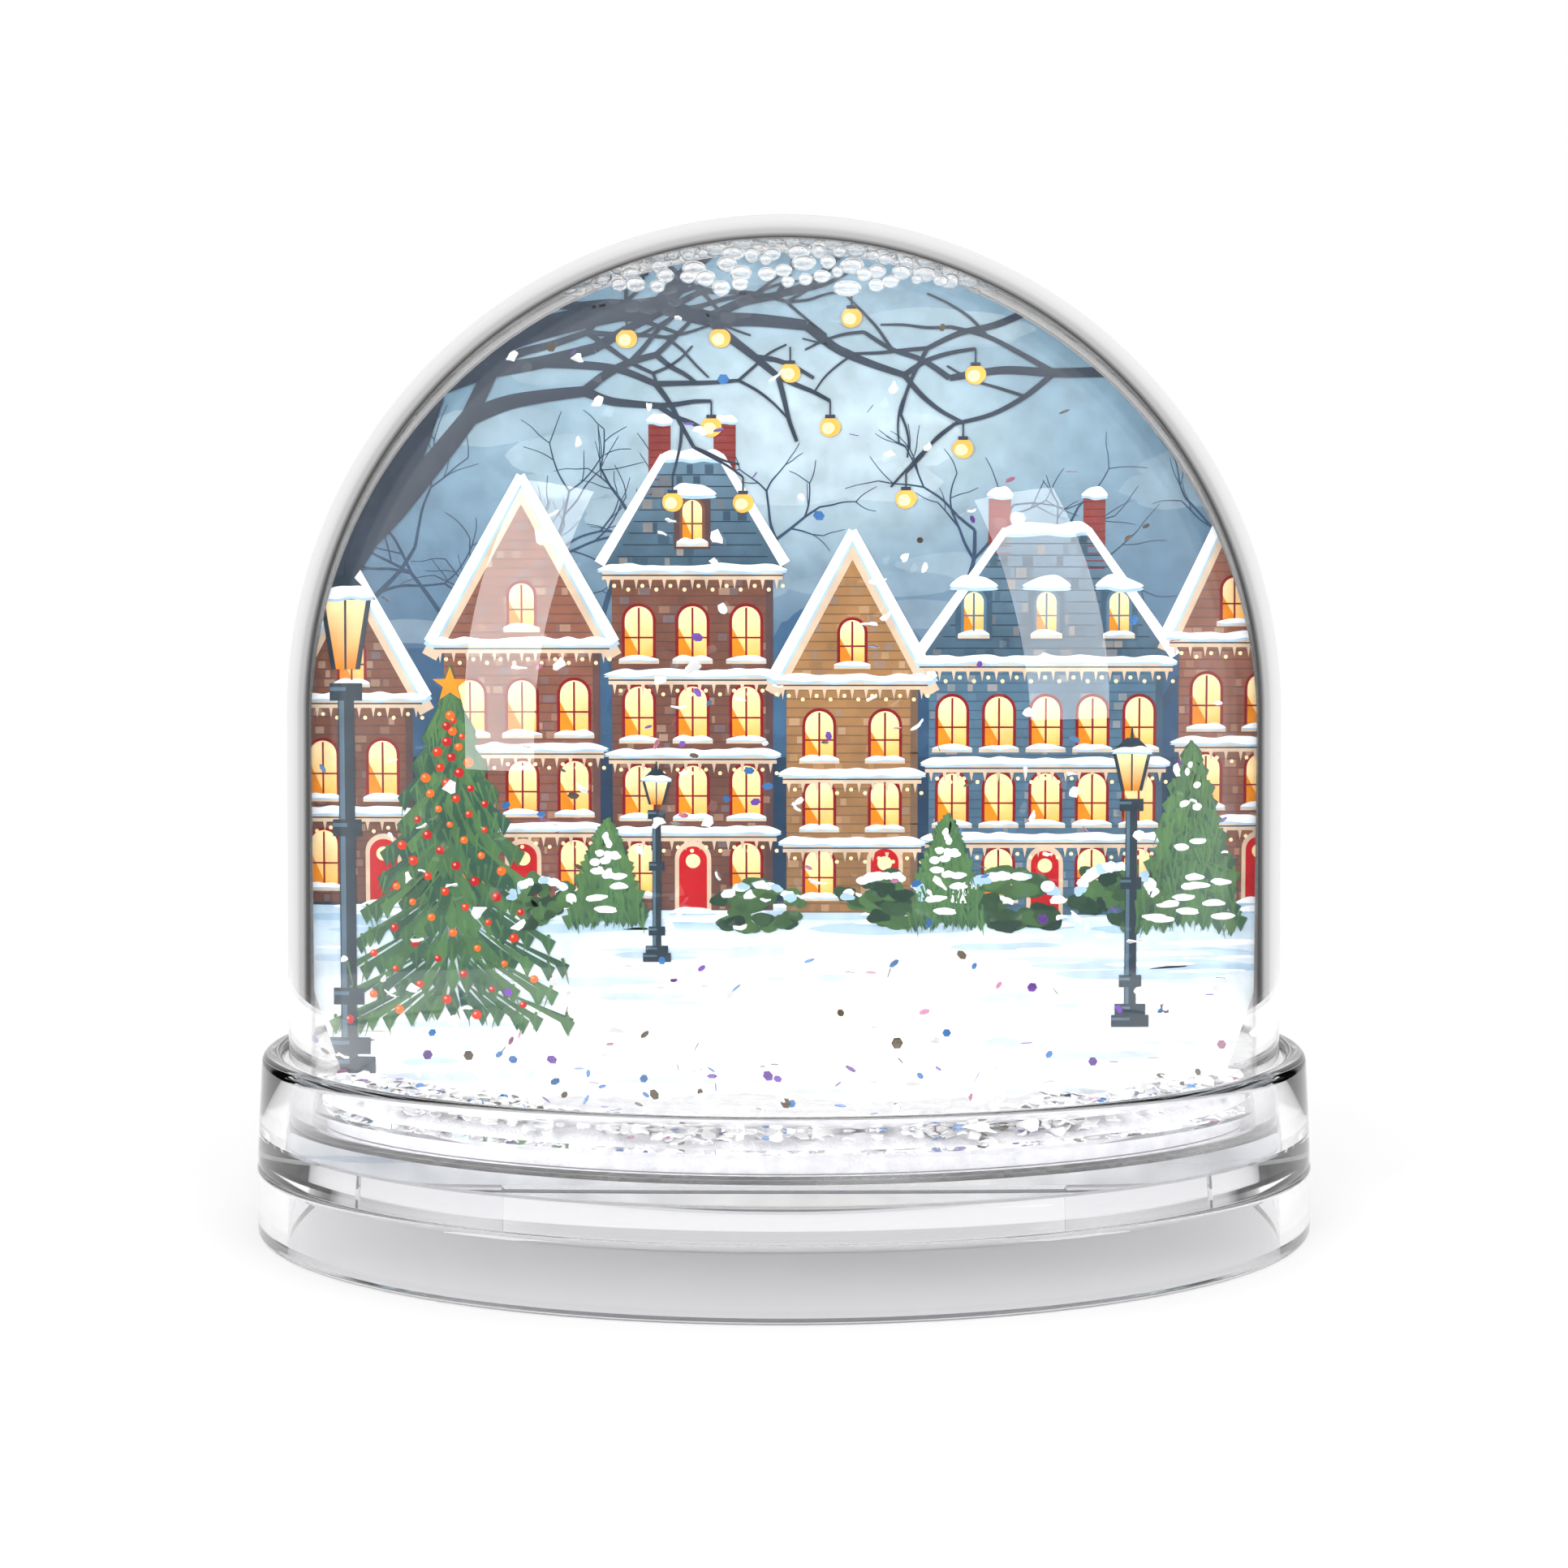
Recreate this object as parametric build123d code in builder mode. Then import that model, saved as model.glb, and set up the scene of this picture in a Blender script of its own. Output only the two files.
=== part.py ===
from build123d import *
from math import sqrt
import os

# Oval water-filled snow globe with a dry photo pocket, standing on its closing cover.
# Millimetres. The width runs along X, the front faces -Y, and the origin is at the
# centre of the face that the cover stands on. Every oval keeps the same inset from
# the widest outline of the base, so that all the walls are evenly thick.

# --- Driving dimensions -------------------------------------------------------------
base_width = 90.0
base_depth = 68.0
overall_height = 85.4

# Cover that closes the underside
cover_height = 5.92
cover_wall = 2.8
cover_plate = 0.8
cover_edge_round = 0.45
blade_offset = 24.0
blade_length = 10.0
blade_thickness = 1.3
blade_height = 2.5
blade_chamfer = 0.3
notch_width = 12.0
notch_depth = 1.2
notch_height = 0.7

# Collar around the foot of the dome
collar_bottom = 6.0
collar_top = 15.3
collar_foot_inset = 0.05
collar_rim_inset = 0.5
collar_bore_inset = 2.4
collar_rim_round = 0.85
collar_foot_round = 0.3
slab_thickness = 2.3

# Floor of the water chamber
floor_inset = 2.55
floor_thickness = 1.8
upstand_height = 1.8
upstand_outer_inset = 4.75
upstand_wall = 1.2

# Seal and dome
seal_thickness = 0.3
dome_inset = 2.7
dome_crown_radius = 42.0
dome_wall = 1.9

# Dry pocket and the card stack in it
pocket_half_width = 39.2
pocket_centre_height = 42.2
pocket_gap = 1.4
pocket_wall = 0.6
fitting_clearance = 0.05
card_half_width = 39.0
card_bottom = 8.6
card_core_thickness = 0.5
print_thickness = 0.3
corner_half_width = 35.2
corner_height = 20.0

# Liquid and what floats in it
water_film = 0.05
bed_inset = 6.6
bed_thickness = 1.4
bed_lift = 0.1
flake_radius = 0.75
flake_thickness = 0.16
flake_sides = 7
flake_count = 90
glitter_radius = 0.42
glitter_thickness = 0.06
glitter_sides = 6
glitter_count = 30
wall_margin = 1.6
pocket_margin = 1.4

# --- Heights and outlines that follow from them ---------------------------------------
half_width = base_width / 2
half_depth = base_depth / 2
slab_top = collar_bottom + slab_thickness
floor_top = slab_top + floor_thickness
dome_foot = floor_top + seal_thickness
spring_height = overall_height - dome_crown_radius
dome_half_width = half_width - dome_inset
dome_half_depth = half_depth - dome_inset
sleeve_half_width = pocket_half_width + pocket_wall
sleeve_thickness = pocket_gap + 2 * pocket_wall


# --- Shared forms ---------------------------------------------------------------------
def oval(inset, height):
    """Oval face at a height, moved inward from the widest outline of the base."""
    with BuildSketch(Plane.XY.offset(height)) as face:
        Ellipse(half_width - inset, half_depth - inset)
    return face.sketch


def oval_ring(outer_inset, inner_inset, height):
    """Flat oval ring at a height, with an even wall."""
    with BuildSketch(Plane.XY.offset(height)) as face:
        Ellipse(half_width - outer_inset, half_depth - outer_inset)
        Ellipse(half_width - inner_inset, half_depth - inner_inset, mode=Mode.SUBTRACT)
    return face.sketch


def domed_solid(inset, foot):
    """Solid inside the dome's outer surface moved inward, cut flat at the foot height."""
    foot_half_width = dome_half_width - inset
    crown_radius = dome_crown_radius - inset
    with BuildPart() as form:
        with BuildSketch(Plane.XZ):
            with BuildLine():
                Polyline((0, spring_height + crown_radius), (0, foot), (foot_half_width, foot),
                         (crown_radius, spring_height))
                CenterArc((0, spring_height), crown_radius, 0, 90)
            make_face()
        revolve(axis=Axis.Z)
    depth_ratio = (dome_half_depth - inset) / foot_half_width
    return scale(form.part, by=(1, depth_ratio, 1))


def arched_panel(half_span, bottom, thickness):
    """Upright panel at mid depth with a round top and parallel sides."""
    with BuildPart() as panel:
        with BuildSketch(Plane.XZ):
            with BuildLine():
                Polyline((half_span, pocket_centre_height), (half_span, bottom),
                         (-half_span, bottom), (-half_span, pocket_centre_height))
                CenterArc((0, pocket_centre_height), half_span, 0, 180)
            make_face()
        extrude(amount=thickness / 2, both=True)
    return panel.part


def card_panel(front, back):
    """Card or print between two depths, with its lower corners cut away."""
    with BuildPart() as panel:
        with BuildSketch(Plane.XZ.offset(-back)):
            with BuildLine():
                Polyline((card_half_width, pocket_centre_height), (card_half_width, corner_height),
                         (corner_half_width, card_bottom), (-corner_half_width, card_bottom),
                         (-card_half_width, corner_height),
                         (-card_half_width, pocket_centre_height))
                CenterArc((0, pocket_centre_height), card_half_width, 0, 180)
            make_face()
        extrude(amount=back - front)
    return panel.part


def scattered_places(start, count, low, high):
    """Evenly spread places and tilts inside the water, clear of the pocket and the dome."""
    water_half_width = dome_half_width - dome_wall
    water_half_depth = dome_half_depth - dome_wall
    nearest = sleeve_thickness / 2 + pocket_margin
    places = []
    for index in range(start, start + count):
        across = 2 * ((index * 0.7549) % 1) - 1
        inward = (index * 0.5698) % 1
        height = low + (high - low) * ((index * 0.6180) % 1)
        rise = max(0, height - spring_height) / (dome_crown_radius - dome_wall)
        shrink = sqrt(1 - rise ** 2)
        x = across * (shrink * water_half_width - wall_margin)
        oval_rest = sqrt(max(0, shrink ** 2 - (x / water_half_width) ** 2))
        deepest = water_half_depth * oval_rest - wall_margin
        if deepest > nearest:
            side = 1 if index % 2 else -1
            y = side * (nearest + inward * (deepest - nearest))
            places.append(Location((x, y, height), (index * 47 % 180, index * 71 % 180, 0)))
    return places


def floating_pieces(start, count, radius, sides, thickness, low, high):
    """Group of separate thin plates that drift in the water."""
    with BuildPart() as plate:
        with BuildSketch():
            RegularPolygon(radius, sides)
        extrude(amount=thickness / 2, both=True)
    with BuildPart() as group:
        with Locations(*scattered_places(start, count, low, high)):
            add(plate.part)
    return group.part


def export_piece(piece, name):
    """Label one finished piece and write it as its own file."""
    piece.label = name
    export_step(piece, f"parts/{name}.step")


os.makedirs("parts", exist_ok=True)

# --- Bottom cover: shallow upturned tray with two blades that fit into the pocket --------
with BuildPart() as bottom_cover:
    add(oval(0, 0))
    extrude(amount=cover_height)
    fillet(bottom_cover.edges(), cover_edge_round)
    extrude(oval(cover_wall, 0), amount=cover_height - cover_plate, mode=Mode.SUBTRACT)
    with Locations((0, half_depth, cover_height)):
        Box(notch_width, 2 * notch_depth, 2 * notch_height, mode=Mode.SUBTRACT)
    with BuildSketch(Plane.XY.offset(cover_height)):
        with Locations((-blade_offset, 0), (blade_offset, 0)):
            Rectangle(blade_length, blade_thickness)
    extrude(amount=blade_height)
    chamfer(bottom_cover.faces().sort_by(Axis.Z)[-2:].edges(), blade_chamfer)
export_piece(bottom_cover.part, "bottom_cover")

# --- Collar: drafted ring on a slab that carries the chamber ---------------------------
with BuildPart() as collar:
    add(oval(collar_foot_inset, collar_bottom))
    add(oval(collar_rim_inset, collar_top))
    loft()
    extrude(oval(collar_bore_inset, slab_top), amount=collar_top - slab_top, mode=Mode.SUBTRACT)
    fillet(collar.edges().group_by(Axis.Z)[-1], collar_rim_round)
    fillet(collar.edges().group_by(Axis.Z)[0], collar_foot_round)
    with BuildSketch(Plane.XY.offset(collar_bottom)):
        Rectangle(2 * pocket_half_width, pocket_gap)
    extrude(amount=slab_thickness, mode=Mode.SUBTRACT)
export_piece(collar.part, "collar")

# --- Chamber floor: plate with an upstand and a slot for the pocket ----------------------
with BuildPart() as chamber_floor:
    extrude(oval(floor_inset, slab_top), amount=floor_thickness)
    extrude(oval_ring(upstand_outer_inset, upstand_outer_inset + upstand_wall, floor_top),
            amount=upstand_height)
    with BuildSketch(Plane.XY.offset(slab_top)):
        Rectangle(2 * (sleeve_half_width + fitting_clearance),
                  sleeve_thickness + 2 * fitting_clearance)
    extrude(amount=floor_thickness + upstand_height, mode=Mode.SUBTRACT)
export_piece(chamber_floor.part, "chamber_floor")

# --- Dome seal: flat gasket under the foot of the dome ---------------------------------
with BuildPart() as dome_seal:
    extrude(oval_ring(dome_inset + water_film, dome_inset + dome_wall - water_film, floor_top),
            amount=seal_thickness)
export_piece(dome_seal.part, "dome_seal")

# --- Dome: even shell, open at the foot ------------------------------------------------
dome_outside = domed_solid(0, dome_foot)
dome_inside = domed_solid(dome_wall, dome_foot)
with BuildPart() as dome:
    add(dome_outside)
    add(dome_inside, mode=Mode.SUBTRACT)
export_piece(dome.part, "dome")

# --- Pocket sleeve: flat dry pocket, open only at the slab ------------------------------
sleeve_outside = arched_panel(sleeve_half_width, slab_top, sleeve_thickness)
sleeve_inside = arched_panel(pocket_half_width, slab_top, pocket_gap)
with BuildPart() as pocket_sleeve:
    add(sleeve_outside)
    add(sleeve_inside, mode=Mode.SUBTRACT)
export_piece(pocket_sleeve.part, "pocket_sleeve")

# --- Card stack: printed sheets on both faces of a stiff core ----------------------------
core_back = card_core_thickness / 2
print_back = core_back + print_thickness
export_piece(card_panel(-core_back, core_back), "card_core")
export_piece(card_panel(-print_back, -core_back), "front_print")
export_piece(card_panel(core_back, print_back), "back_print")

# --- Water: fills the chamber up to a thin film from every wall --------------------------
upstand_top = floor_top + upstand_height
water_body = domed_solid(dome_wall + water_film, upstand_top + water_film)
pocket_hollow = arched_panel(sleeve_half_width + water_film, slab_top,
                             sleeve_thickness + 2 * water_film)
with BuildPart() as water:
    extrude(oval(upstand_outer_inset + upstand_wall + water_film, floor_top + water_film),
            amount=upstand_height)
    add(water_body)
    add(pocket_hollow, mode=Mode.SUBTRACT)
export_piece(water.part, "water")

# --- Snow bed: settled flakes in front of and behind the pocket --------------------------
bed_bottom = floor_top + bed_lift
with BuildPart() as snow_bed:
    extrude(oval(bed_inset, bed_bottom), amount=bed_thickness)
    with Locations((0, 0, bed_bottom)):
        Box(base_width, sleeve_thickness + 2 * pocket_wall, 2 * bed_thickness,
            mode=Mode.SUBTRACT)
export_piece(snow_bed.part, "snow_bed")

# --- Flakes and glitter that drift in the water ------------------------------------------
flakes_low = upstand_top + wall_margin
flakes_high = pocket_centre_height + 0.8 * card_half_width
glitter_high = pocket_centre_height
export_piece(floating_pieces(1, flake_count, flake_radius, flake_sides, flake_thickness,
                             flakes_low, flakes_high), "snow_flakes")
for order, colour in enumerate(("violet", "blue", "bronze", "rose")):
    first_place = 200 + order * glitter_count
    export_piece(floating_pieces(first_place, glitter_count, glitter_radius, glitter_sides,
                                 glitter_thickness, flakes_low, glitter_high),
                 f"glitter_{colour}")
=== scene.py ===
"""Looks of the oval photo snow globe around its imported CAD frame, in metres; MM is a millimetre."""
import bmesh
import bpy
import math
import random
from mathutils import Matrix, Vector, noise


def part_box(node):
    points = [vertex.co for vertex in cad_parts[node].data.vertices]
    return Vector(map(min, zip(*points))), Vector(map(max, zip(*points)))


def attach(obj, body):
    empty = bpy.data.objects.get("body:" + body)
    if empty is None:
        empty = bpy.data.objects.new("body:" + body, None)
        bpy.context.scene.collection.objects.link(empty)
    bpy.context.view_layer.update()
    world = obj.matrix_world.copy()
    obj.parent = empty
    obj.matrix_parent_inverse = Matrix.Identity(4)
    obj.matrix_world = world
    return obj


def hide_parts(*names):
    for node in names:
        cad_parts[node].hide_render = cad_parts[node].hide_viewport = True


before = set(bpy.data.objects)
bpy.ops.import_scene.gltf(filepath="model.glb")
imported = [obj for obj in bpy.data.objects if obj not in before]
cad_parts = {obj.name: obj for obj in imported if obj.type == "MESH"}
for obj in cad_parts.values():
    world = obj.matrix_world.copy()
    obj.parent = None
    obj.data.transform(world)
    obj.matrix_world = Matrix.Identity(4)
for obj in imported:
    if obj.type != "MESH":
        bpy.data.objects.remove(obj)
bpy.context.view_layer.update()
MM = 0.001

# --- Driving sizes, in millimetres, the same as in the CAD --------------------
cover_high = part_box("bottom_cover")[1]
dome_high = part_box("dome")[1]
HALF_WIDTH = cover_high[0] / MM
HALF_DEPTH = cover_high[1] / MM
TOTAL_HEIGHT = dome_high[2] / MM
COVER_HEIGHT = 5.92
COVER_WALL = 2.8
COVER_PLATE = 0.8
COVER_ROUND = 0.45
BLADE_OFFSET = 24.0
BLADE_LENGTH = 10.0
BLADE_THICKNESS = 1.3
BLADE_TOP = 8.42
BLADE_CHAMFER = 0.3
BLADE_ROOT = 0.4
NOTCH_HALF = 6
NOTCH_DEPTH = 1.2
NOTCH_HEIGHT = 0.7
UNDER_EASE = 0.25
RIM_EASE = 0.15
EDGE_CHAMFER = 0.3
COLLAR_BOTTOM = 6.0
COLLAR_TOP = 15.3
COLLAR_BORE = 2.4
COLLAR_RIM_INSET = 0.5
COLLAR_FOOT_INSET = 0.05
COLLAR_RIM_ROUND = 0.85
COLLAR_FOOT_ROUND = 0.3
SLAB_TOP = 8.3
FLOOR_TOP = 10.1
FLOOR_INSET = 2.55
UPSTAND_TOP = 11.9
UPSTAND_INSET = 4.75
UPSTAND_WALL = 1.2
DOME_FOOT = 10.4
DOME_INSET = 2.7
DOME_WALL = 1.9
CROWN_RADIUS = 42.0
SPRING_HEIGHT = TOTAL_HEIGHT - CROWN_RADIUS
FILM = 0.05
POCKET_HALF = 39.2
POCKET_GAP = 1.4
POCKET_WALL = 0.6
POCKET_CENTRE = 42.2
SLEEVE_HALF = POCKET_HALF + POCKET_WALL
SLEEVE_DEPTH = POCKET_GAP + 2 * POCKET_WALL
GAP = 0.04
CARD_HALF = 39.0
CARD_BOTTOM = 8.6
CORNER_HALF = 35.2
CORNER_HEIGHT = 20.0
PRINT_FACE = 0.55
LAYER_STEP = 0.005
HAIR_STEP = 0.00012
HAIR_COUNT = 40
BED_LOW = FLOOR_TOP + 0.1
BED_INSET = 6.6
ROUND_SEGMENTS = 256
SHARP_ANGLE = 35
GOLDEN_TURN = 2.39996
RAFT_HALF_X = 18.0
RAFT_HALF_Y = 15.5

# What clear parts mirror: how far a direction points to the back, from -1 to 1, and its light.
FLAG_LEVELS = ((-0.98, 0.04), (-0.45, 0.04), (-0.10, 0.42), (0.28, 0.46), (0.33, 0.42), (0.37, 0.01),
               (0.725, 0.01), (0.755, 0.34), (0.775, 0.62), (0.82, 0.72), (0.90, 0.86), (0.94, 1.0),
               (0.958, 1.0), (0.975, 0.82), (0.995, 0.82))
FLOOR_RADIUS = 0.16
# The camera's place and pitch (degrees down), fitted to the base's ovals, seam and rim.
CAMERA_LENS = 59.5
CAMERA_PLACE = (0.0, -0.2211, 0.0534)
CAMERA_PITCH = 4.10
# Studio light straight through clear parts, on surfaces behind them, and on surfaces outside.
THROUGH_LEVEL = 0.94
INNER_FILL = 0.75
OUTER_FILL = 1.3


# --- Camera, lights and stage -------------------------------------------------
def set_camera():
    """Camera in front of the globe, slightly above its middle and pitched a little down."""
    data = bpy.data.cameras.new("camera")
    data.lens = CAMERA_LENS
    data.sensor_width = 36.0
    data.clip_start = 0.01
    camera = bpy.data.objects.new("camera", data)
    bpy.context.scene.collection.objects.link(camera)
    camera.location = CAMERA_PLACE
    camera.rotation_euler = (math.radians(90 - CAMERA_PITCH), 0, 0)
    bpy.context.scene.camera = camera


def set_world():
    """White studio. Only what clear parts mirror has dark flags, which outline their edges."""
    world = bpy.data.worlds.new("studio")
    bpy.context.scene.world = world
    world.use_nodes = True
    nodes, links = world.node_tree.nodes, world.node_tree.links

    def light(strength):
        node = nodes.new("ShaderNodeBackground")
        node.inputs["Color"].default_value = (1, 1, 1, 1)
        node.inputs["Strength"].default_value = strength
        return node

    def choose(factor, off, on):
        node = nodes.new("ShaderNodeMixShader")
        links.new(factor, node.inputs[0])
        links.new(off.outputs[0], node.inputs[1])
        links.new(on.outputs[0], node.inputs[2])
        return node

    def logic(operation, first, second=1.0):
        node = nodes.new("ShaderNodeMath")
        node.operation = operation
        links.new(first, node.inputs[0])
        if isinstance(second, float):
            node.inputs[1].default_value = second
        else:
            links.new(second, node.inputs[1])
        return node.outputs[0]

    flagged = light(1.0)
    place = nodes.new("ShaderNodeTexCoord")
    split = nodes.new("ShaderNodeSeparateXYZ")
    spread = nodes.new("ShaderNodeMapRange")
    spread.inputs["From Min"].default_value = -1.0
    ramp = nodes.new("ShaderNodeValToRGB")
    stops = ramp.color_ramp.elements
    for toward_back, grey in FLAG_LEVELS:
        stop = stops.new((toward_back + 1) / 2)
        stop.color = (grey, grey, grey, 1)
    stops.remove(stops[0])
    stops.remove(stops[-1])
    links.new(place.outputs["Generated"], split.inputs[0])
    links.new(split.outputs["Y"], spread.inputs["Value"])
    links.new(spread.outputs["Result"], ramp.inputs["Fac"])
    links.new(ramp.outputs["Color"], flagged.inputs["Color"])
    path = nodes.new("ShaderNodeLightPath").outputs
    mirrored = logic("MINIMUM", path["Glossy Depth"])
    scattered = logic("MINIMUM", path["Diffuse Depth"])
    through_clear = logic("MAXIMUM", path["Is Glossy Ray"], path["Is Transmission Ray"])
    seen = choose(mirrored, light(THROUGH_LEVEL), flagged)
    seen = choose(scattered, seen, light(INNER_FILL))
    seen = choose(through_clear, light(OUTER_FILL), seen)
    seen = choose(path["Is Camera Ray"], seen, light(1.0))
    links.new(seen.outputs[0], nodes["World Output"].inputs["Surface"])


def softbox(name, place, width, height, power, mirrored=True):
    """Rectangular lamp that faces the middle of the globe; clear parts may or may not mirror it."""
    data = bpy.data.lights.new(name, "AREA")
    data.shape = "RECTANGLE"
    data.size = width
    data.size_y = height
    data.energy = power
    light = bpy.data.objects.new(name, data)
    bpy.context.scene.collection.objects.link(light)
    aim = Vector((0, 0, TOTAL_HEIGHT / 2 * MM)) - Vector(place)
    light.location = place
    light.rotation_euler = aim.to_track_quat("-Z", "Y").to_euler()
    light.visible_glossy = mirrored
    light.visible_transmission = False
    light.visible_camera = False


def set_render_look():
    """Plain view and enough bounces for light to cross all the clear walls twice."""
    scene = bpy.context.scene
    scene.view_settings.view_transform = "Standard"
    scene.cycles.max_bounces = 28
    scene.cycles.transmission_bounces = 28
    scene.cycles.glossy_bounces = 12
    scene.cycles.diffuse_bounces = 4
    scene.cycles.transparent_max_bounces = 64
    scene.cycles.caustics_reflective = False
    scene.cycles.caustics_refractive = True


# --- Materials ----------------------------------------------------------------
def new_material(name):
    """Empty material with its output and one Principled shader."""
    material = bpy.data.materials.new(name)
    material.use_nodes = True
    nodes = material.node_tree.nodes
    nodes.clear()
    output = nodes.new("ShaderNodeOutputMaterial")
    body = nodes.new("ShaderNodeBsdfPrincipled")
    material.node_tree.links.new(body.outputs[0], output.inputs["Surface"])
    return material, nodes, material.node_tree.links, output, body


def add_noise(nodes, links, scale, low, high, detail=3.0):
    """Object-space noise stretched between two values."""
    place = nodes.new("ShaderNodeTexCoord")
    grain = nodes.new("ShaderNodeTexNoise")
    grain.inputs["Scale"].default_value = scale
    grain.inputs["Detail"].default_value = detail
    stretch = nodes.new("ShaderNodeMapRange")
    stretch.inputs["From Min"].default_value = 0.3
    stretch.inputs["From Max"].default_value = 0.7
    stretch.inputs["To Min"].default_value = low
    stretch.inputs["To Max"].default_value = high
    links.new(place.outputs["Object"], grain.inputs["Vector"])
    links.new(grain.outputs["Fac"], stretch.inputs["Value"])
    return stretch.outputs["Result"]


def add_bump(nodes, links, body, height, strength, distance):
    lift = nodes.new("ShaderNodeBump")
    lift.inputs["Strength"].default_value = strength
    lift.inputs["Distance"].default_value = distance
    links.new(height, lift.inputs["Height"])
    links.new(lift.outputs[0], body.inputs["Normal"])


def pass_lamps(nodes, links, output, body, tint):
    """Let the lamps light what lies behind a surface, dimmed by a tint."""
    through = nodes.new("ShaderNodeBsdfTransparent")
    through.inputs["Color"].default_value = (*tint, 1)
    path = nodes.new("ShaderNodeLightPath")
    mix = nodes.new("ShaderNodeMixShader")
    links.new(path.outputs["Is Shadow Ray"], mix.inputs[0])
    links.new(body.outputs[0], mix.inputs[1])
    links.new(through.outputs[0], mix.inputs[2])
    links.new(mix.outputs[0], output.inputs["Surface"])


def clear_material(name, ior, tint, smear=(0.0, 0.02), glass=(1, 1, 1), clarity=1.0):
    """Clear moulded plastic or liquid that lets the lamps light what lies behind it."""
    material, nodes, links, output, body = new_material(name)
    body.inputs["Base Color"].default_value = (*glass, 1)
    body.inputs["IOR"].default_value = ior
    body.inputs["Transmission Weight"].default_value = clarity
    links.new(add_noise(nodes, links, 90, *smear), body.inputs["Roughness"])
    pass_lamps(nodes, links, output, body, tint)
    return material


def mottled_material(name, light, dark, scale, roughness, bump=0.3, coat=0.0, lamp_tint=None):
    """Material whose colour wanders between two tones; loose snow also passes some lamp light."""
    material, nodes, links, output, body = new_material(name)
    mix = nodes.new("ShaderNodeMix")
    mix.data_type = "RGBA"
    mix.inputs["A"].default_value = (*dark, 1)
    mix.inputs["B"].default_value = (*light, 1)
    links.new(add_noise(nodes, links, scale, 0, 1), mix.inputs["Factor"])
    links.new(mix.outputs["Result"], body.inputs["Base Color"])
    body.inputs["Roughness"].default_value = roughness
    body.inputs["Coat Weight"].default_value = coat
    add_bump(nodes, links, body, add_noise(nodes, links, scale * 4, 0, 1), bump, 0.0001)
    if lamp_tint:
        pass_lamps(nodes, links, output, body, lamp_tint)
    return material


def ink_material():
    """Watercolour print on glossy photo paper; each shape brings its own ink, brightened as painted light.
    """
    material, nodes, links, _, body = new_material("print_ink")
    own = nodes.new("ShaderNodeAttribute")
    own.attribute_name = "ink"
    wash = nodes.new("ShaderNodeHueSaturation")
    wash.inputs["Saturation"].default_value = 1.08
    links.new(own.outputs["Color"], wash.inputs["Color"])
    # Random watercolour variation of each ink. The whole range lies above 1, so this also brightens every
    # ink as painted light for the light that the clear walls hold back.
    links.new(add_noise(nodes, links, 420, 1.05, 1.42, 6.0), wash.inputs["Value"])
    links.new(wash.outputs[0], body.inputs["Base Color"])
    links.new(add_noise(nodes, links, 900, 0.30, 0.42), body.inputs["Roughness"])
    body.inputs["Coat Weight"].default_value = 0.2
    body.inputs["Coat Roughness"].default_value = 0.12
    return material


def foil_material(name, tone, film):
    """Iridescent metal foil for glitter."""
    material, nodes, links, _, body = new_material(name)
    body.inputs["Base Color"].default_value = (*tone, 1)
    body.inputs["Metallic"].default_value = 0.85
    body.inputs["Thin Film Thickness"].default_value = film
    body.inputs["Thin Film IOR"].default_value = 1.6
    links.new(add_noise(nodes, links, 700, 0.12, 0.34), body.inputs["Roughness"])
    return material


# --- Mesh helpers -------------------------------------------------------------
def finish_mesh(name, bm, material, sharp=SHARP_ANGLE):
    """Turns a built mesh into a shaded piece in the scene."""
    mesh = bpy.data.meshes.new(name)
    bmesh.ops.recalc_face_normals(bm, faces=bm.faces)
    bm.to_mesh(mesh)
    bm.free()
    mesh.shade_smooth()
    mesh.set_sharp_from_angle(angle=math.radians(sharp))
    piece = bpy.data.objects.new(name, mesh)
    bpy.context.scene.collection.objects.link(piece)
    mesh.materials.append(material)
    return piece


def inset_points(profile):
    """Turns (inset, height) pairs into (half width, half depth, height) triples."""
    return [(HALF_WIDTH - inset, HALF_DEPTH - inset, height) for inset, height in profile]


def round_corner(inset, height, radius, start, end, steps=6):
    """Points of a rounded corner about a centre; 0 degrees points outward, 90 up."""
    angles = [math.radians(start + (end - start) * i / steps) for i in range(steps + 1)]
    return [(inset - radius * math.cos(a), height + radius * math.sin(a)) for a in angles]


def oval_solid(name, profile, material, segments=ROUND_SEGMENTS):
    """Closed solid swept round the Z axis. A profile point with no width is a pole."""
    bm = bmesh.new()
    rings = []
    for half_x, half_y, height in profile:
        if half_x <= 0:
            rings.append([bm.verts.new((0, 0, height * MM))])
            continue
        ring = []
        for i in range(segments):
            turn = 2 * math.pi * i / segments
            ring.append(bm.verts.new((half_x * math.cos(turn) * MM, half_y * math.sin(turn) * MM,
                                      height * MM)))
        rings.append(ring)
    for lower, upper in zip(rings, rings[1:]):
        for i in range(segments):
            j = (i + 1) % segments
            corners = [lower[i % len(lower)], lower[j % len(lower)],
                       upper[j % len(upper)], upper[i % len(upper)]]
            bm.faces.new(list(dict.fromkeys(corners)))
    return finish_mesh(name, bm, material)


def dome_points(inset, foot, crown_steps=64, wall_steps=12):
    """Profile of the dome's surface moved inward, from its foot up to its pole."""
    foot_half = HALF_WIDTH - DOME_INSET - inset
    crown = CROWN_RADIUS - inset
    ratio = (HALF_DEPTH - DOME_INSET - inset) / foot_half
    points = []
    for i in range(wall_steps):
        share = i / wall_steps
        half = foot_half + (crown - foot_half) * share
        points.append((half, half * ratio, foot + (SPRING_HEIGHT - foot) * share))
    for i in range(crown_steps):
        angle = math.pi / 2 * i / crown_steps
        half = crown * math.cos(angle)
        points.append((half, half * ratio, SPRING_HEIGHT + crown * math.sin(angle)))
    points.append((0, 0, SPRING_HEIGHT + crown))
    return points


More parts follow.
